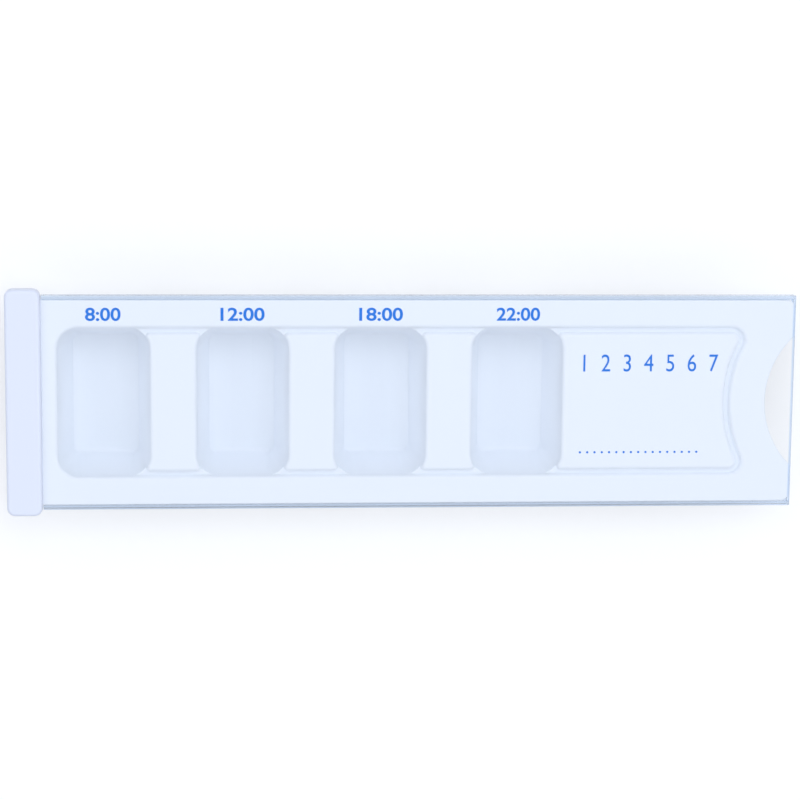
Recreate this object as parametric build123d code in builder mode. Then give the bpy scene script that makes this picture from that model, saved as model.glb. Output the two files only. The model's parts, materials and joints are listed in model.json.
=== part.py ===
"""One-day pill organizer.

A white moulded tray holds four compartments in a row, a name plate and a grip bar. A clear lid hooks
round the tray's two long edges and slides along it. X runs along the row, from the grip bar to the thumb
notch, and Z is up. The tray stands on the floors of its compartments, at Z = 0. Sizes are in millimetres.
"""

import os
from math import cos, radians

from build123d import *

# Compartments, in a row along X
compartment_count = 4
compartment_width = 21.8  # along X, at the mouth
compartment_span = 35.9  # along Y, at the mouth
compartment_depth = 16.5
compartment_corner = 5.0  # upright corners at the mouth
wall_draft = 12.0  # degrees that the walls lean
floor_flat = 5.0  # width of the flat strip along the middle of the floor
floor_radius = 12.0  # curve of the floor from that strip up to the partitions
floor_corner = 1.0  # rounding where the floor meets the walls
partition_width = 11.3

# Deck, the flat top of the tray
wall = 1.2
deck_thickness = 1.4
deck_edge = 0.3  # rounding of the deck's outer edges
deck_corner = 2.0
side_border = 6.8  # deck beside the compartments
grip_border = 3.8  # deck between the grip bar and the first compartment
plate_length = 39.8  # from the last compartment to the hollow of the plate's curved edge
notch_border = 8.9  # deck between the groove and the thumb notch
notch_depth = 6.7
notch_chord = 31.6
notch_corner = 0.5

# Groove round the plate and past the ends of the partitions
groove_width = 1.2
groove_depth = 1.6
groove_corner = 3.0  # outer corners beside the thumb notch
groove_root = 0.4  # rounding along the groove's floor
island_corner = 0.9  # corners of the partitions and the plate, seen from above
rim_round = 0.9  # rounded edge of the deck round the sunken area
island_round = 0.9  # rounded top edges of the partitions and the plate
least_corner = 0.3

# Grip bar across the closed end
grip_length = 8.5
grip_overhang = 1.5  # beyond the lid on each side
grip_rise = 0.5  # above the lid
grip_wall = 1.4
grip_corner = 2.0
grip_core_corner = 0.8
grip_round = 1.0

# Sliding lid
running_gap = 0.2
lid_wall = 0.9
lid_lip = 2.2  # reach of each lip under the deck
lid_edge = 0.5
lip_edge = 0.3

# A rounding takes at most this share of the wall that it rounds
round_share = 0.85
# A rounding on both sides of a wall takes at most this share of it
half_share = 0.4

# Levels
deck_top = wall + compartment_depth
deck_bottom = deck_top - deck_thickness
shelf_level = deck_top - groove_depth
lid_under = deck_top + running_gap
lid_top = lid_under + lid_wall
lip_top = deck_bottom - running_gap
lip_bottom = lip_top - lid_wall
grip_top = lid_top + grip_rise

# Widths across Y
deck_width = compartment_span + 2 * side_border
channel_width = deck_width + 2 * running_gap
lid_width = channel_width + 2 * lid_wall
lip_opening = deck_width - 2 * lid_lip
grip_width = lid_width + 2 * grip_overhang

# Places along X
pitch = compartment_width + partition_width
row_length = compartment_count * pitch - partition_width
notch_end = groove_width + notch_border + notch_depth
overall_length = grip_length + grip_border + row_length + plate_length + notch_end
deck_end = overall_length / 2
grip_face = grip_length - overall_length / 2
grip_place = (grip_face - grip_length / 2, 0)
row_start = grip_face + grip_border
first_place = row_start + compartment_width / 2
compartment_places = [(first_place + i * pitch, 0) for i in range(compartment_count)]
partition_places = [(x + pitch / 2, 0) for x, y in compartment_places[:-1]]

# The thumb notch, the groove and the plate's edge are arcs about one centre
notch_radius = (notch_chord**2 / 4 + notch_depth**2) / (2 * notch_depth)
notch_place = (deck_end - notch_depth + notch_radius, 0)
recess_radius = notch_radius + notch_border

# Roundings of the groove, from its floor up to the deck
root_fillet = min(groove_root, half_share * groove_width, half_share * groove_depth)
rim_fillet = min(rim_round, round_share * (groove_depth - root_fillet))
island_fillet = min(island_round, round_share * (groove_depth - root_fillet))


def recess_plan(grow):
    """Outline of the sunken area, seen from above, moved outwards by grow."""
    left = row_start - grow
    length = notch_place[0] - left
    with BuildSketch() as plan:
        with Locations((left + length / 2, 0)):
            Rectangle(length, compartment_span + 2 * grow)
        with Locations(notch_place):
            Circle(recess_radius - grow, mode=Mode.SUBTRACT)
        fillet(plan.vertices().group_by(Axis.X)[0], max(compartment_corner + grow, least_corner))
        fillet(plan.vertices().group_by(Axis.X)[-1], max(groove_corner + grow, least_corner))
    return plan.sketch


def scoop(skin):
    """Tapered cup whose floor curves up to both partitions, skin thicker than the compartment itself."""
    side = skin / cos(radians(wall_draft))
    floor_level = wall - skin
    mouth_width = compartment_width + 2 * side
    mouth_span = compartment_span + 2 * side
    with BuildPart() as cup:
        # The leaning walls run on below the floor, which cuts them off
        with BuildSketch(Plane.XY.offset(shelf_level)):
            RectangleRounded(mouth_width, mouth_span, compartment_corner + side)
        extrude(amount=floor_level - floor_corner - shelf_level, taper=wall_draft)
        with BuildSketch(Plane.XZ) as trough:
            with Locations((0, (floor_level + shelf_level) / 2)):
                Rectangle(floor_flat + 2 * (floor_radius + skin), shelf_level - floor_level)
            fillet(trough.vertices().group_by(Axis.Y)[0], floor_radius + skin)
        extrude(amount=mouth_span, both=True, mode=Mode.INTERSECT)
        floor_strip = cup.faces().sort_by(Axis.Z)[0]
        floor_edges = (cup.faces().filter_by(GeomType.CYLINDER) + [floor_strip]).edges()
        strip_sides = floor_strip.edges().filter_by(Axis.Y)
        fillet(floor_edges - strip_sides, floor_corner + skin)
        extrude(cup.faces().sort_by(Axis.Z)[-1], amount=groove_depth)
    return cup.part


# Tops of the partitions, which widen where the compartments' corners turn away from them
with BuildSketch() as partition_plan:
    with Locations(partition_places):
        Rectangle(partition_width + 2 * compartment_corner, compartment_span - 2 * groove_width)
    with Locations(compartment_places):
        RectangleRounded(compartment_width, compartment_span, compartment_corner, mode=Mode.SUBTRACT)
    partition_ends = partition_plan.vertices().group_by(Axis.Y)
    fillet(partition_ends[0] + partition_ends[-1], island_corner)

# Name plate, from the last compartment to its curved edge
with BuildSketch() as plate_plan:
    add(recess_plan(-groove_width))
    with Locations((compartment_places[-1][0] - row_length / 2, 0)):
        Rectangle(row_length, compartment_span, mode=Mode.SUBTRACT)
    with Locations(compartment_places[-1]):
        RectangleRounded(compartment_width, compartment_span, compartment_corner, mode=Mode.SUBTRACT)
    plate_sides = plate_plan.vertices().group_by(Axis.Y)
    fillet([side.sort_by(Axis.X)[0] for side in (plate_sides[0], plate_sides[-1])], island_corner)

# Sunken area round the partitions and the plate, as deep as the groove
with BuildPart() as sunken_void:
    with BuildSketch(Plane.XY.offset(deck_top)):
        add(recess_plan(0))
        add(partition_plan.sketch, mode=Mode.SUBTRACT)
        add(plate_plan.sketch, mode=Mode.SUBTRACT)
    extrude(amount=-groove_depth)
    fillet(sunken_void.faces().sort_by(Axis.Z)[0].edges(), root_fillet)

compartment_shell = scoop(wall)
compartment_void = scoop(0)

with BuildPart() as tray:
    # Flat deck with its thumb notch
    with BuildSketch(Plane.XY.offset(deck_bottom)) as deck_plan:
        with Locations(((grip_face + deck_end) / 2, 0)):
            Rectangle(deck_end - grip_face, deck_width)
        fillet(deck_plan.vertices().group_by(Axis.X)[-1], deck_corner)
        with Locations(notch_place):
            Circle(notch_radius, mode=Mode.SUBTRACT)
        fillet(deck_plan.vertices().group_by(Axis.X)[-1].sort_by(Axis.Y)[1:3], notch_corner)
    extrude(amount=deck_thickness)
    outer_edges = tray.edges().filter_by(Axis.Z, reverse=True).group_by(Axis.X)[1:]
    fillet(
        [edge for group in outer_edges for edge in group],
        min(deck_edge, half_share * deck_thickness),
    )
    # Thicker band under the groove
    with BuildSketch(Plane.XY.offset(shelf_level - wall)):
        add(recess_plan(wall))
        add(recess_plan(-groove_width - wall), mode=Mode.SUBTRACT)
    extrude(amount=wall + groove_depth)
    # Compartments, with the groove past the partitions and round the plate
    with Locations(compartment_places):
        add(compartment_shell)
    with Locations(compartment_places):
        add(compartment_void, mode=Mode.SUBTRACT)
    add(sunken_void.part, mode=Mode.SUBTRACT)
    # Rounded top edges of the sunken area, the partitions and the plate
    tops = tray.faces().filter_by(Axis.Z).filter_by_position(Axis.Z, deck_top, deck_top)
    rim = tops.sort_by(SortBy.AREA)[-1].inner_wires().sort_by(SortBy.LENGTH)[-1]
    fillet(rim.edges(), rim_fillet)
    tops = tray.faces().filter_by(Axis.Z).filter_by_position(Axis.Z, deck_top, deck_top)
    islands = tops.sort_by(SortBy.AREA)[:-1]
    fillet(islands.edges(), island_fillet)
    # Grip bar, hollow underneath
    with BuildSketch(Plane.XY.offset(deck_bottom)):
        with Locations(grip_place):
            RectangleRounded(grip_length, grip_width, grip_corner)
    extrude(amount=grip_top - deck_bottom)
    fillet(tray.faces().sort_by(Axis.Z)[-1].edges(), min(grip_round, round_share * grip_wall))
    with BuildSketch(Plane.XY.offset(deck_bottom)):
        with Locations(grip_place):
            RectangleRounded(
                grip_length - 2 * grip_wall, grip_width - 2 * grip_wall, grip_core_corner
            )
    extrude(amount=grip_top - deck_bottom - grip_wall, mode=Mode.SUBTRACT)

with BuildPart() as clear_lid:
    # One section all along, open at both ends
    with BuildSketch(Plane.YZ.offset(grip_face + running_gap)) as lid_section:
        with Locations((0, (lip_bottom + lid_top) / 2)):
            Rectangle(lid_width, lid_top - lip_bottom)
        fillet(lid_section.vertices(), min(lid_edge, round_share * lid_wall))
        with Locations((0, (lip_top + lid_under) / 2)):
            Rectangle(channel_width, lid_under - lip_top, mode=Mode.SUBTRACT)
        with Locations((0, (lip_bottom + lip_top) / 2)):
            Rectangle(lip_opening, lid_wall, mode=Mode.SUBTRACT)
        lip_corners = lid_section.vertices().filter_by_position(Axis.Y, lip_bottom, lip_top)
        lip_tips = lip_corners.filter_by_position(Axis.X, -lip_opening / 2, lip_opening / 2)
        fillet(lip_tips, min(lip_edge, half_share * lid_wall))
    extrude(amount=deck_end - grip_face - running_gap)

os.makedirs("parts", exist_ok=True)
tray.part.label = "tray"
export_step(tray.part, "parts/tray.step")
clear_lid.part.label = "clear_lid"
export_step(clear_lid.part, "parts/clear_lid.step")
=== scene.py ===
"""One-day pill organizer, dressed for a picture: plastics, the print on the tray, and a white studio.

The file is laid out as a Blender add-on. Run as a script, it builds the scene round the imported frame.
Lengths are in metres.
"""

import json
from math import radians

import bpy
from bpy.props import FloatProperty, FloatVectorProperty, IntProperty, PointerProperty, StringProperty
from bpy.types import NodeSocket, Operator, Panel, PropertyGroup
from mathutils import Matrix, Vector


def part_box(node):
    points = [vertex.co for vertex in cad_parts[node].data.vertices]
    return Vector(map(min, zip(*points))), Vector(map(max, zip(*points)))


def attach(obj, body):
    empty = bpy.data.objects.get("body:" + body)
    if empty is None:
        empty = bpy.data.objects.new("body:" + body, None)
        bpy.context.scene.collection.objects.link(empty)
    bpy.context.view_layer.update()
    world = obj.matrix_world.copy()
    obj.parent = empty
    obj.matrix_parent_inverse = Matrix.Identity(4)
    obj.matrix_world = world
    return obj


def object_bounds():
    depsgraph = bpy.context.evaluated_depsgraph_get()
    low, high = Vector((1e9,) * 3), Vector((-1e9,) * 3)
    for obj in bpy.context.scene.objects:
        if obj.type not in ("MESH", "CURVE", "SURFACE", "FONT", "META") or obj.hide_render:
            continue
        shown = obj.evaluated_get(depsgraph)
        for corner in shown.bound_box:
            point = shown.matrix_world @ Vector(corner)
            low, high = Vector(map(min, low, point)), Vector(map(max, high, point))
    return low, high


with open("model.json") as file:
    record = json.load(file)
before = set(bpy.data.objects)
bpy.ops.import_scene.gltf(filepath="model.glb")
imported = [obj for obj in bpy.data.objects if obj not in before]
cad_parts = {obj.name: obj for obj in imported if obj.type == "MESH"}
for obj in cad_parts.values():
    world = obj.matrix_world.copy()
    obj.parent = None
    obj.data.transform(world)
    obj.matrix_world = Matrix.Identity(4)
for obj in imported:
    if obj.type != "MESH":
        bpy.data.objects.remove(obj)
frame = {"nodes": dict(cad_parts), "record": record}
CAD_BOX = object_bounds()
LID_LOW, LID_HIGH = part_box("clear_lid")

bl_info = {
    "name": "Pill Organizer",
    "version": (1, 0, 0),
    "blender": (4, 5, 0),
    "location": "View3D > Sidebar > Organizer",
    "description": "Plastics, print and white studio for a one-day pill organizer with a sliding lid",
    "category": "Object",
}

# Clear room of each compartment, as lowest and highest corners
COMPARTMENTS = [
    opening["box_m"]
    for opening in frame["record"]["physics"]["openings"]
    if opening["name"].startswith("compartment")
]
DECK_TOP = COMPARTMENTS[0][1][2]

# Specks lie in the cells of a texture: their radius in cells, and the share of cells that stay clean
SPECK_RADIUS = 0.022
CLEAN_CELLS = 0.72
# Length over which one colour of the tray turns into the next
COLOUR_STEP = 0.0001
# Share of the lid's edge bands that is fully tinted
FULL_TINT = 0.8
# Straight steps in each curve of a figure, and the distance at which its points merge, for type of size 1
CURVE_STEPS = 6
MERGE_DISTANCE = 0.0001
# Type is thickened by any depth at first, because the ink film's own thickness is set later
TYPE_DEPTH = 0.1
DOT_SIDES = 24
# A face whose normal has at least this upward share is a top face
UPWARD = 0.9


class OrganizerPlastics(PropertyGroup):
    """Colours and finish of the two mouldings."""

    tray_colour: FloatVectorProperty(
        name="Tray",
        description="Bluish white of the tray",
        subtype="COLOR",
        size=4,
        min=0.0,
        max=1.0,
        default=(0.928, 0.954, 0.990, 1.0),
    )
    tray_shade: FloatVectorProperty(
        name="Tray clouds",
        description="White of the tray in its faintly darker clouds",
        subtype="COLOR",
        size=4,
        min=0.0,
        max=1.0,
        default=(0.918, 0.946, 0.985, 1.0),
    )
    # Painted shade: the grip bar is coloured a deeper white than the rest of the tray
    grip_colour: FloatVectorProperty(
        name="Grip bar",
        description="White of the grip bar, a little deeper than the rest of the tray",
        subtype="COLOR",
        size=4,
        min=0.0,
        max=1.0,
        default=(0.800, 0.830, 0.935, 1.0),
    )
    tray_roughness: FloatVectorProperty(
        name="Tray roughness",
        description="Least and greatest roughness of the tray",
        size=2,
        min=0.0,
        max=1.0,
        default=(0.30, 0.40),
    )
    tray_ior: FloatProperty(
        name="Tray refraction",
        description="Index of refraction of the tray, which sets its gloss",
        min=1.0,
        max=2.0,
        default=1.59,
    )
    grain_height: FloatProperty(
        name="Grain height",
        description="Height of the tray's fine grain",
        unit="LENGTH",
        default=0.00002,
    )
    grain_strength: FloatProperty(
        name="Grain strength",
        description="How strongly the fine grain shows",
        subtype="FACTOR",
        min=0.0,
        max=1.0,
        default=0.10,
    )
    dust_colour: FloatVectorProperty(
        name="Dust",
        description="Grey of the few specks of dust on the tray",
        subtype="COLOR",
        size=4,
        min=0.0,
        max=1.0,
        default=(0.30, 0.32, 0.36, 1.0),
    )
    dust_cover: FloatProperty(
        name="Dust cover",
        description="How much of the plastic's colour a speck of dust hides",
        subtype="FACTOR",
        min=0.0,
        max=1.0,
        default=0.4,
    )
    lid_tint: FloatVectorProperty(
        name="Lid tint",
        description="Faint tint of the clear lid",
        subtype="COLOR",
        size=4,
        min=0.0,
        max=1.0,
        default=(0.99, 0.995, 1.0, 1.0),
    )
    # Partly the plastic's own deeper tint through its walls, partly painted shade for the dark lines along
    # the lid's edges
    lid_edge: FloatVectorProperty(
        name="Lid edge",
        description="Deeper tint of the lid where one looks down through its walls",
        subtype="COLOR",
        size=4,
        min=0.0,
        max=1.0,
        default=(0.68, 0.78, 0.92, 1.0),
    )
    lid_side_band: FloatProperty(
        name="Lid side band",
        description="Width of the deeper tint along the lid's long sides",
        unit="LENGTH",
        default=0.00117,
    )
    lid_end_band: FloatProperty(
        name="Lid end band",
        description="Width of the deeper tint along the lid's open end",
        unit="LENGTH",
        default=0.00054,
    )
    lid_roughness: FloatVectorProperty(
        name="Lid roughness",
        description="Least and greatest roughness of the lid",
        size=2,
        min=0.0,
        max=1.0,
        default=(0.01, 0.04),
    )
    lid_ior: FloatProperty(
        name="Lid refraction",
        description="Index of refraction of the clear lid",
        min=1.0,
        max=2.0,
        default=1.49,
    )


class OrganizerPrint(PropertyGroup):
    """Sizes, places and colour of the print on the tray."""

    ink: FloatVectorProperty(
        name="Ink",
        description="Blue of the print",
        subtype="COLOR",
        size=4,
        min=0.0,
        max=1.0,
        default=(0.002, 0.19, 0.74, 1.0),
    )
    ink_thinning: FloatProperty(
        name="Ink thinning",
        description="How much white shows through the ink where it is thin",
        subtype="FACTOR",
        min=0.0,
        max=1.0,
        default=0.06,
    )
    ink_roughness: FloatVectorProperty(
        name="Ink roughness",
        description="Least and greatest roughness of the ink",
        size=2,
        min=0.0,
        max=1.0,
        default=(0.35, 0.55),
    )
    ink_ior: FloatProperty(
        name="Ink refraction",
        description="Index of refraction of the ink",
        min=1.0,
        max=2.0,
        default=1.5,
    )
    ink_gloss: FloatProperty(
        name="Ink gloss",
        description="Strength of the ink's own gloss, where 0.5 is that of bare plastic",
        subtype="FACTOR",
        min=0.0,
        max=1.0,
        default=0.15,
    )
    film: FloatProperty(
        name="Ink film",
        description="How far the ink stands above the plastic",
        unit="LENGTH",
        default=0.00003,
    )
    times: StringProperty(
        name="Times of day",
        description="Clock times over the compartments, from the grip bar on",
        default="8:00 12:00 18:00 22:00",
    )
    time_height: FloatProperty(
        name="Time height",
        description="Height of the clock times",
        unit="LENGTH",
        default=0.0032,
    )
    time_digit: FloatProperty(
        name="Time digit",
        description="Length that one sign of a clock time takes",
        unit="LENGTH",
        default=0.0021,
    )
    time_weight: FloatProperty(
        name="Time weight",
        description="How much bolder the clock times are than the plain type, as a share of its size",
        min=0.0,
        default=0.02,
    )
    time_line: FloatProperty(
        name="Time line",
        description="Distance of the clock times from the tray's middle line",
        unit="LENGTH",
        default=0.0213,
    )
    days: IntProperty(
        name="Days",
        description="Number of days in the row on the plate",
        min=1,
        default=7,
    )
    day_height: FloatProperty(
        name="Day height",
        description="Height of the day numbers",
        unit="LENGTH",
        default=0.0042,
    )
    day_weight: FloatProperty(
        name="Day weight",
        description="How much bolder the day numbers are. More than 0 closes the eye of the 4",
        min=0.0,
        default=0.0,
    )
    day_row: FloatProperty(
        name="Day row",
        description="Length of the row of day numbers",
        unit="LENGTH",
        default=0.033,
    )
    day_place: FloatVectorProperty(
        name="Day place",
        description="Middle of the row of day numbers",
        subtype="XYZ",
        unit="LENGTH",
        size=2,
        default=(0.0600, 0.0094),
    )
    dot_count: IntProperty(
        name="Dots",
        description="Number of dots in the write-on line",
        min=1,
        default=17,
    )
    dot_pitch: FloatProperty(
        name="Dot pitch",
        description="Distance from dot to dot",
        unit="LENGTH",
        default=0.00179,
    )
    dot_radius: FloatProperty(
        name="Dot radius",
        description="Radius of one dot",
        unit="LENGTH",
        default=0.00028,
    )
    dot_place: FloatVectorProperty(
        name="First dot",
        description="Middle of the write-on line's first dot",
        subtype="XYZ",
        unit="LENGTH",
        size=2,
        default=(0.0431, -0.0125),
    )


class OrganizerStudio(PropertyGroup):
    """Camera, softbox, sky and floor."""

    camera_place: FloatVectorProperty(
        name="Camera",
        description="Where the camera stands",
        subtype="XYZ",
        unit="LENGTH",
        size=3,
        default=(-0.04682, 0.09340, 0.600),
    )
    camera_turn: FloatVectorProperty(
        name="Camera turn",
        description="Turn of the camera from looking straight down",
        subtype="EULER",
        unit="ROTATION",
        size=3,
        default=(radians(-9.082), radians(-4.429), radians(0.534)),
    )
    camera_lens: FloatProperty(
        name="Lens",
        description="Focal length of the camera, in millimetres",
        default=110.46,
    )
    camera_near: FloatProperty(
        name="Near limit",
        description="Distance from which on the camera sees things",
        unit="LENGTH",
        default=0.01,
    )
    key_place: FloatVectorProperty(
        name="Softbox",
        description="Where the large softbox hangs",
        subtype="XYZ",
        unit="LENGTH",
        size=3,
        default=(0.05, 0.20, 0.8),
    )
    key_size: FloatProperty(
        name="Softbox size",
        description="Side of the square softbox",
        unit="LENGTH",
        default=0.6,
    )
    key_power: FloatProperty(
        name="Softbox power",
        description="Light that the softbox sends out",
        unit="POWER",
        default=2.5,
    )
    key_colour: FloatVectorProperty(
        name="Softbox colour",
        description="Colour of the softbox's light",
        subtype="COLOR",
        size=3,
        min=0.0,
        max=1.0,
        default=(0.870, 0.925, 1.0),
    )
    sky_strength: FloatProperty(
        name="Sky",
        description="Strength of the light that comes from all round",
        min=0.0,
        default=1.21,
    )
    sky_low: FloatVectorProperty(
        name="Sky low down",
        description="Colour of the light from near the horizon",
        subtype="COLOR",
        size=4,
        min=0.0,
        max=1.0,
        default=(0.23, 0.245, 0.265, 1.0),
    )
    sky_side: FloatVectorProperty(
        name="Sky sides",
        description="Colour of the light from the sides, at mid height",
        subtype="COLOR",
        size=4,
        min=0.0,
        max=1.0,
        default=(0.865, 0.905, 1.0, 1.0),
    )
    sky_top: FloatVectorProperty(
        name="Sky overhead",
        description="Colour of the light from overhead, where the camera stands",
        subtype="COLOR",
        size=4,
        min=0.0,
        max=1.0,
        default=(0.085, 0.090, 0.095, 1.0),
    )
    sky_heights: FloatVectorProperty(
        name="Sky heights",
        description="Heights where the low light ends, the side light starts and ends, and the top light "
        "starts, from 0 at the horizon to 1 overhead",
        size=4,
        min=0.0,
        max=1.0,
        default=(0.30, 0.50, 0.80, 0.97),
    )
    floor_colour: FloatVectorProperty(
        name="Floor",
        description="Colour of the floor",
        subtype="COLOR",
        size=4,
        min=0.0,
        max=1.0,
        default=(0.62, 0.62, 0.62, 1.0),
    )
    floor_glow: FloatProperty(
        name="Floor glow",
        description="How much of the floor's white is its own light, as the camera sees it",
        min=0.0,
        max=1.0,
        default=0.42,
    )
    floor_size: FloatProperty(
        name="Floor size",
        description="Side of the square floor",
        unit="LENGTH",
        default=8.0,
    )


def new_material(name):
    """Empty node material and its node tree."""
    material = bpy.data.materials.new(name)
    material.use_nodes = True
    material.node_tree.nodes.clear()
    return material, material.node_tree


def feed(tree, socket, value):
    """Links another node's output to a socket, or sets the socket to a plain value."""
    if isinstance(value, NodeSocket):
        tree.links.new(value, socket)
    else:
        socket.default_value = value


def add_node(tree, kind, **settings):
    """Adds a node and sets its properties, or feeds its input sockets where no property has that name."""
    node = tree.nodes.new(kind)
    for key, value in settings.items():
        if hasattr(node, key):
            setattr(node, key, value)
        else:
            feed(tree, node.inputs[key.replace("_", " ")], value)
    return node


def add_math(tree, operation, *values):
    """Result of a Math node on sockets or plain numbers."""
    node = add_node(tree, "ShaderNodeMath", operation=operation)
    for socket, value in zip(node.inputs, values):
        feed(tree, socket, value)
    return node.outputs["Value"]


def add_mix(tree, factor, first, second):
    """Mixes two colours, each a socket or a plain colour."""
    node = add_node(tree, "ShaderNodeMix", data_type="RGBA", Factor=factor)
    for label, colour in (("A", first), ("B", second)):
        feed(tree, next(s for s in node.inputs if s.name == label and s.type == "RGBA"), colour)
    return next(s for s in node.outputs if s.type == "RGBA")


def add_range(tree, source, low, high):
    """Spreads a 0 to 1 value over low to high."""
    node = add_node(tree, "ShaderNodeMapRange", Value=source, To_Min=low, To_Max=high)
    return node.outputs["Result"]


def past(tree, source, start, end):
    """0 where a coordinate is below start, 1 where it is past end."""
    node = add_node(tree, "ShaderNodeMapRange", Value=source, From_Min=start, From_Max=end)
    return node.outputs["Result"]


def object_axes(tree):
    """X, Y and Z of each point, in the object's own coordinates."""
    place = add_node(tree, "ShaderNodeTexCoord").outputs["Object"]
    return add_node(tree, "ShaderNodeSeparateXYZ", Vector=place).outputs


def moulding_group():
    """Node group that every moulded or printed surface here shares: clouds, fine grain and a few specks."""
    name = "Moulded surface"
    if name in bpy.data.node_groups:
        return bpy.data.node_groups[name]
    group = bpy.data.node_groups.new(name, "ShaderNodeTree")
    for label, value in (("Cloud Scale", 40.0), ("Grain Scale", 3000.0), ("Speck Scale", 130.0)):
        socket = group.interface.new_socket(label, in_out="INPUT", socket_type="NodeSocketFloat")
        socket.default_value = value
    for label in ("Clouds", "Grain", "Specks"):
        group.interface.new_socket(label, in_out="OUTPUT", socket_type="NodeSocketFloat")
    scales = add_node(group, "NodeGroupInput").outputs
    place = add_node(group, "ShaderNodeTexCoord").outputs["Object"]
    clouds = add_node(
        group, "ShaderNodeTexNoise", Vector=place, Scale=scales["Cloud Scale"], Detail=3.0, Roughness=0.5
    )
    grain = add_node(
        group, "ShaderNodeTexNoise", Vector=place, Scale=scales["Grain Scale"], Detail=2.0, Roughness=0.6
    )
    cells = add_node(
        group, "ShaderNodeTexVoronoi", feature="F1", Vector=place, Scale=scales["Speck Scale"]
    )
    lot = add_node(group, "ShaderNodeSeparateColor", Color=cells.outputs["Color"]).outputs["Red"]
    near = add_math(group, "LESS_THAN", cells.outputs["Distance"], SPECK_RADIUS)
    drawn = add_math(group, "GREATER_THAN", lot, CLEAN_CELLS)
    add_node(
        group,
        "NodeGroupOutput",
        Clouds=clouds.outputs["Fac"],
        Grain=grain.outputs["Fac"],
        Specks=add_math(group, "MULTIPLY", near, drawn),
    )
    return group


def add_moulding(tree, **scales):
    """Places the shared surface group in a material, with its own scales, and gives its outputs."""
    return add_node(tree, "ShaderNodeGroup", node_tree=moulding_group(), **scales).outputs


def tray_plastic(plastics):
    """White satin plastic, faintly clouded, with a few specks of dust and painted shade that deepens the
    white of the grip bar.
    """
    material, tree = new_material("White plastic")
    surface = add_moulding(tree, Cloud_Scale=45.0, Grain_Scale=2600.0, Speck_Scale=120.0)
    white = add_mix(tree, surface["Clouds"], plastics.tray_shade, plastics.tray_colour)
    # Painted shade makes the grip bar a deeper white. The grip bar ends where the lid starts
    beyond_grip = past(tree, object_axes(tree)["X"], LID_LOW.x - COLOUR_STEP, LID_LOW.x)
    white = add_mix(tree, beyond_grip, plastics.grip_colour, white)
    dust = add_range(tree, surface["Specks"], 0.0, plastics.dust_cover)
    grain = add_node(
        tree,
        "ShaderNodeBump",
        Strength=plastics.grain_strength,
        Distance=plastics.grain_height,
        Height=surface["Grain"],
    )
    shader = add_node(
        tree,
        "ShaderNodeBsdfPrincipled",
        IOR=plastics.tray_ior,
        Base_Color=add_mix(tree, dust, white, plastics.dust_colour),
        Roughness=add_range(tree, surface["Clouds"], *plastics.tray_roughness),
        Normal=grain.outputs["Normal"],
    )
    add_node(tree, "ShaderNodeOutputMaterial", Surface=shader.outputs["BSDF"])
    return material


def lid_edges(tree, side_band, end_band):
    """1 along the lid's two long sides and its open end, and 0 over its flat top."""
    axes = object_axes(tree)
    across = add_math(tree, "ABSOLUTE", axes["Y"])
    sides = past(tree, across, LID_HIGH.y - side_band, LID_HIGH.y - FULL_TINT * side_band)
    end = past(tree, axes["X"], LID_HIGH.x - end_band, LID_HIGH.x - FULL_TINT * end_band)
    return add_math(tree, "MAXIMUM", sides, end)


def lid_plastic(plastics):
    """Clear glossy plastic that lets the lamps through to the tray, with deeper-tinted bands along its edges
    that are partly painted shade.
    """
    material, tree = new_material("Clear plastic")
    surface = add_moulding(tree, Cloud_Scale=25.0, Grain_Scale=500.0)
    edges = lid_edges(tree, plastics.lid_side_band, plastics.lid_end_band)
    clear = add_node(
        tree,
        "ShaderNodeBsdfPrincipled",
        IOR=plastics.lid_ior,
        # The edge bands' deeper tint is partly real tint and partly painted shade
        Base_Color=add_mix(tree, edges, plastics.lid_tint, plastics.lid_edge),
        Roughness=add_range(tree, surface["Clouds"], *plastics.lid_roughness),
        Transmission_Weight=1.0,
    )
    passing = add_node(tree, "ShaderNodeBsdfTransparent", Color=plastics.lid_tint)
    path = add_node(tree, "ShaderNodeLightPath").outputs
    unseen = add_math(tree, "MAXIMUM", path["Is Shadow Ray"], path["Is Diffuse Ray"])
    either = add_node(tree, "ShaderNodeMixShader", Fac=unseen)
    tree.links.new(clear.outputs["BSDF"], either.inputs[1])
    tree.links.new(passing.outputs["BSDF"], either.inputs[2])
    add_node(tree, "ShaderNodeOutputMaterial", Surface=either.outputs["Shader"])
    return material


def print_ink(prints):
    """Blue screen-print ink, a little uneven."""
    name = "Blue ink"
    if name in bpy.data.materials:
        return bpy.data.materials[name]
    material, tree = new_material(name)
    surface = add_moulding(tree, Cloud_Scale=900.0, Grain_Scale=6000.0)
    thin = [channel + (1.0 - channel) * prints.ink_thinning for channel in prints.ink]
    shader = add_node(
        tree,
        "ShaderNodeBsdfPrincipled",
        IOR=prints.ink_ior,
        Specular_IOR_Level=prints.ink_gloss,
        Base_Color=add_mix(tree, surface["Clouds"], prints.ink, thin),
        Roughness=add_range(tree, surface["Grain"], *prints.ink_roughness),
    )
    add_node(tree, "ShaderNodeOutputMaterial", Surface=shader.outputs["BSDF"])
    return material


def start_piece(name):
    """Names the object that was just added, and its data."""
    piece = bpy.context.object
    piece.name = name
    piece.data.name = name
    return piece


def ink_piece(piece):
    """Gives a finished mark its ink, and lets it ride on the tray."""
    piece.data.materials.clear()
    piece.data.materials.append(print_ink(bpy.context.scene.organizer_print))
    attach(piece, "tray")


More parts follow.
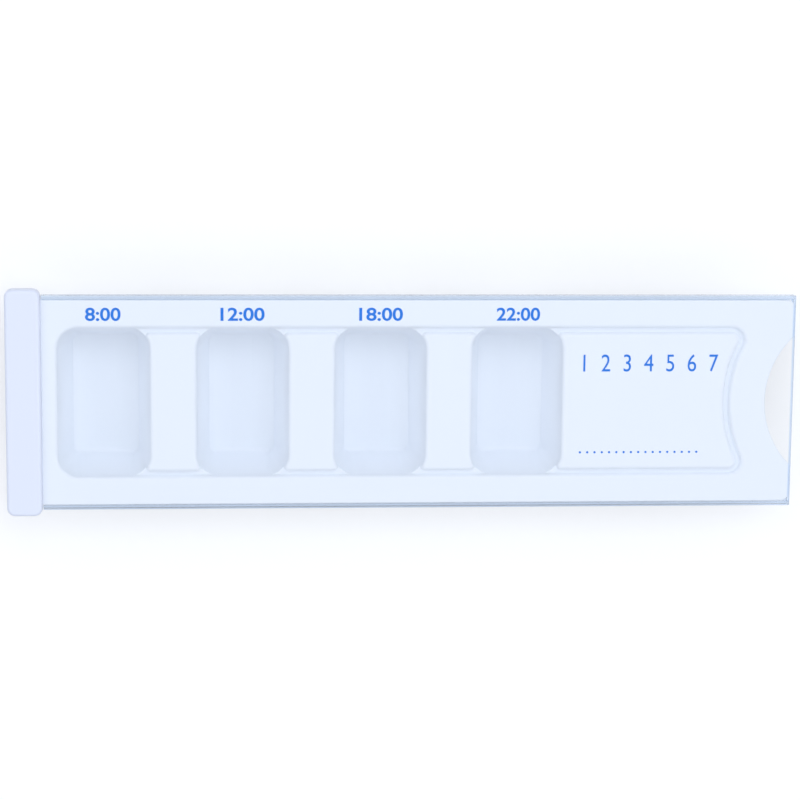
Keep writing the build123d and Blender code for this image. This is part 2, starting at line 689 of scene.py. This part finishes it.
def printed_figures(name, figures, weight, length, height, film, place):
    """Figures printed flat on the deck, as a closed film of ink, length long and height tall.

    The weight is how much bolder they are than the plain type, as a share of its size.
    """
    bpy.ops.object.select_all(action="DESELECT")
    bpy.ops.object.text_add()
    text = start_piece(name).data
    text.body = figures
    text.align_x = "CENTER"
    text.align_y = "CENTER"
    text.extrude = TYPE_DEPTH
    text.offset = weight
    text.resolution_u = CURVE_STEPS
    bpy.ops.object.convert(target="MESH")
    piece = start_piece(name)
    corners = [Vector(corner) for corner in piece.bound_box]
    low = Vector(map(min, *corners))
    high = Vector(map(max, *corners))
    size = high - low
    middle = (low + high) / 2
    bpy.ops.object.mode_set(mode="EDIT")
    bpy.ops.mesh.select_all(action="SELECT")
    bpy.ops.mesh.remove_doubles(threshold=MERGE_DISTANCE)
    bpy.ops.mesh.normals_make_consistent(inside=False)
    bpy.ops.transform.translate(value=-middle)
    bpy.ops.transform.resize(
        value=(length / size.x, height / size.y, 2 * film / size.z),
        center_override=(0.0, 0.0, 0.0),
    )
    bpy.ops.transform.translate(value=(place[0], place[1], DECK_TOP))
    bpy.ops.object.mode_set(mode="OBJECT")
    ink_piece(piece)


class ORGANIZER_OT_tray(Operator):
    """Give the tray its white plastic"""

    bl_idname = "organizer.tray"
    bl_label = "White tray"

    def execute(self, context):
        materials = frame["nodes"]["tray"].data.materials
        materials.clear()
        materials.append(tray_plastic(context.scene.organizer_plastics))
        return {"FINISHED"}


class ORGANIZER_OT_lid(Operator):
    """Give the sliding lid its clear plastic"""

    bl_idname = "organizer.lid"
    bl_label = "Clear lid"

    def execute(self, context):
        materials = frame["nodes"]["clear_lid"].data.materials
        materials.clear()
        materials.append(lid_plastic(context.scene.organizer_plastics))
        return {"FINISHED"}


class ORGANIZER_OT_times(Operator):
    """Print a clock time over each compartment"""

    bl_idname = "organizer.times"
    bl_label = "Clock times"

    def execute(self, context):
        prints = context.scene.organizer_print
        times = prints.times.split()
        if len(times) != len(COMPARTMENTS):
            raise ValueError("each compartment needs one clock time")
        for number, (time, (low, high)) in enumerate(zip(times, COMPARTMENTS), 1):
            printed_figures(
                f"time_mark_{number}",
                time,
                prints.time_weight,
                len(time) * prints.time_digit,
                prints.time_height,
                prints.film,
                ((low[0] + high[0]) / 2, prints.time_line),
            )
        return {"FINISHED"}


class ORGANIZER_OT_days(Operator):
    """Print the row of day numbers on the plate"""

    bl_idname = "organizer.days"
    bl_label = "Day numbers"

    def execute(self, context):
        prints = context.scene.organizer_print
        days = "  ".join(str(day) for day in range(1, prints.days + 1))
        printed_figures(
            "day_numbers",
            days,
            prints.day_weight,
            prints.day_row,
            prints.day_height,
            prints.film,
            prints.day_place,
        )
        return {"FINISHED"}


class ORGANIZER_OT_dots(Operator):
    """Print the dotted line to write on"""

    bl_idname = "organizer.dots"
    bl_label = "Write-on line"

    def execute(self, context):
        prints = context.scene.organizer_print
        bpy.ops.object.select_all(action="DESELECT")
        bpy.ops.mesh.primitive_cylinder_add(
            vertices=DOT_SIDES,
            radius=prints.dot_radius,
            depth=2 * prints.film,
            location=(prints.dot_place[0], prints.dot_place[1], DECK_TOP),
        )
        piece = start_piece("write_on_line")
        bpy.ops.object.transform_apply(location=True, rotation=True, scale=True)
        bpy.ops.object.mode_set(mode="EDIT")
        bpy.ops.mesh.select_all(action="DESELECT")
        bpy.ops.object.mode_set(mode="OBJECT")
        for face in piece.data.polygons:
            face.select = face.normal.z > UPWARD
        bpy.ops.object.mode_set(mode="EDIT")
        bpy.ops.mesh.bevel(offset=prints.film / 2, segments=2, affect="EDGES")
        bpy.ops.object.mode_set(mode="OBJECT")
        row = piece.modifiers.new("Row", "ARRAY")
        row.count = prints.dot_count
        row.use_relative_offset = False
        row.use_constant_offset = True
        row.constant_offset_displace = (prints.dot_pitch, 0.0, 0.0)
        bpy.ops.object.modifier_apply(modifier=row.name)
        ink_piece(piece)
        return {"FINISHED"}


def camera_sees(tree):
    """1 for rays that show the backdrop: straight from the camera, mirrored, or through clear plastic."""
    path = add_node(tree, "ShaderNodeLightPath").outputs
    direct_or_mirrored = add_math(tree, "MAXIMUM", path["Is Camera Ray"], path["Is Glossy Ray"])
    return add_math(tree, "MAXIMUM", direct_or_mirrored, path["Is Transmission Ray"])


def floor_paper(studio):
    """Pale paper that the camera sees as white, and that keeps the shadow."""
    material, tree = new_material("Floor paper")
    paper = add_node(tree, "ShaderNodeBsdfDiffuse", Color=studio.floor_colour)
    strength = add_math(tree, "MULTIPLY", camera_sees(tree), studio.floor_glow)
    glow = add_node(tree, "ShaderNodeEmission", Color=(1.0, 1.0, 1.0, 1.0), Strength=strength)
    both = add_node(tree, "ShaderNodeAddShader")
    tree.links.new(paper.outputs["BSDF"], both.inputs[0])
    tree.links.new(glow.outputs["Emission"], both.inputs[1])
    add_node(tree, "ShaderNodeOutputMaterial", Surface=both.outputs["Shader"])
    return material


def studio_world(studio):
    """Soft light as in a tent: brightest from its sides, and dim at its top, where the camera stands."""
    world = bpy.data.worlds.new("Studio")
    world.use_nodes = True
    tree = world.node_tree
    tree.nodes.clear()
    way = add_node(tree, "ShaderNodeTexCoord").outputs["Generated"]
    height = add_node(tree, "ShaderNodeSeparateXYZ", Vector=way).outputs["Z"]
    ramp = add_node(tree, "ShaderNodeValToRGB", Fac=height)
    ramp.color_ramp.interpolation = "EASE"
    colours = (studio.sky_low, studio.sky_side, studio.sky_side, studio.sky_top)
    while len(ramp.color_ramp.elements) < len(colours):
        ramp.color_ramp.elements.new(1.0)
    for stop, place, colour in zip(ramp.color_ramp.elements, studio.sky_heights, colours):
        stop.position = place
        stop.color = colour
    sky = add_node(
        tree, "ShaderNodeBackground", Color=ramp.outputs["Color"], Strength=studio.sky_strength
    )
    add_node(tree, "ShaderNodeOutputWorld", Surface=sky.outputs["Background"])
    return world


class ORGANIZER_OT_stage(Operator):
    """Set up the sky, the floor, the softbox and the camera"""

    bl_idname = "organizer.stage"
    bl_label = "Studio"

    def execute(self, context):
        scene = context.scene
        studio = scene.organizer_studio
        scene.view_settings.view_transform = "Standard"
        scene.world = studio_world(studio)
        bpy.ops.object.select_all(action="DESELECT")
        bpy.ops.mesh.primitive_plane_add(size=studio.floor_size, location=(0.0, 0.0, CAD_BOX[0].z))
        floor = start_piece("floor")
        floor.data.materials.append(floor_paper(studio))
        bpy.ops.object.light_add(type="AREA", location=studio.key_place)
        key = start_piece("softbox")
        key.data.size = studio.key_size
        key.data.energy = studio.key_power
        key.data.color = studio.key_colour
        # The clear lid would mirror the softbox as a glare
        key.visible_glossy = False
        key.visible_transmission = False
        key.rotation_euler = key.location.to_track_quat("Z", "Y").to_euler()
        bpy.ops.object.camera_add(location=studio.camera_place, rotation=studio.camera_turn)
        camera = start_piece("camera")
        camera.data.lens = studio.camera_lens
        camera.data.clip_start = studio.camera_near
        scene.camera = camera
        return {"FINISHED"}


STEPS = (
    ORGANIZER_OT_tray,
    ORGANIZER_OT_lid,
    ORGANIZER_OT_times,
    ORGANIZER_OT_days,
    ORGANIZER_OT_dots,
    ORGANIZER_OT_stage,
)


class ORGANIZER_PT_panel(Panel):
    """Sidebar panel with every step and its settings"""

    bl_idname = "ORGANIZER_PT_panel"
    bl_label = "Pill Organizer"
    bl_space_type = "VIEW_3D"
    bl_region_type = "UI"
    bl_category = "Organizer"

    def draw(self, context):
        column = self.layout.column()
        for step in STEPS:
            column.operator(step.bl_idname)
        scene = context.scene
        for settings in (scene.organizer_plastics, scene.organizer_print, scene.organizer_studio):
            box = self.layout.box()
            for key in settings.bl_rna.properties.keys():
                if key not in {"rna_type", "name"}:
                    box.prop(settings, key)


SETTINGS = {
    "organizer_plastics": OrganizerPlastics,
    "organizer_print": OrganizerPrint,
    "organizer_studio": OrganizerStudio,
}


def register():
    for settings in SETTINGS.values():
        bpy.utils.register_class(settings)
    for name, settings in SETTINGS.items():
        setattr(bpy.types.Scene, name, PointerProperty(type=settings))
    for step in STEPS:
        bpy.utils.register_class(step)
    bpy.utils.register_class(ORGANIZER_PT_panel)


def unregister():
    bpy.utils.unregister_class(ORGANIZER_PT_panel)
    for step in reversed(STEPS):
        bpy.utils.unregister_class(step)
    for name in SETTINGS:
        delattr(bpy.types.Scene, name)
    for settings in SETTINGS.values():
        bpy.utils.unregister_class(settings)


def main():
    """Builds everything in order."""
    register()
    bpy.ops.organizer.tray()
    bpy.ops.organizer.lid()
    bpy.ops.organizer.times()
    bpy.ops.organizer.days()
    bpy.ops.organizer.dots()
    bpy.ops.organizer.stage()


if __name__ == "__main__":
    main()
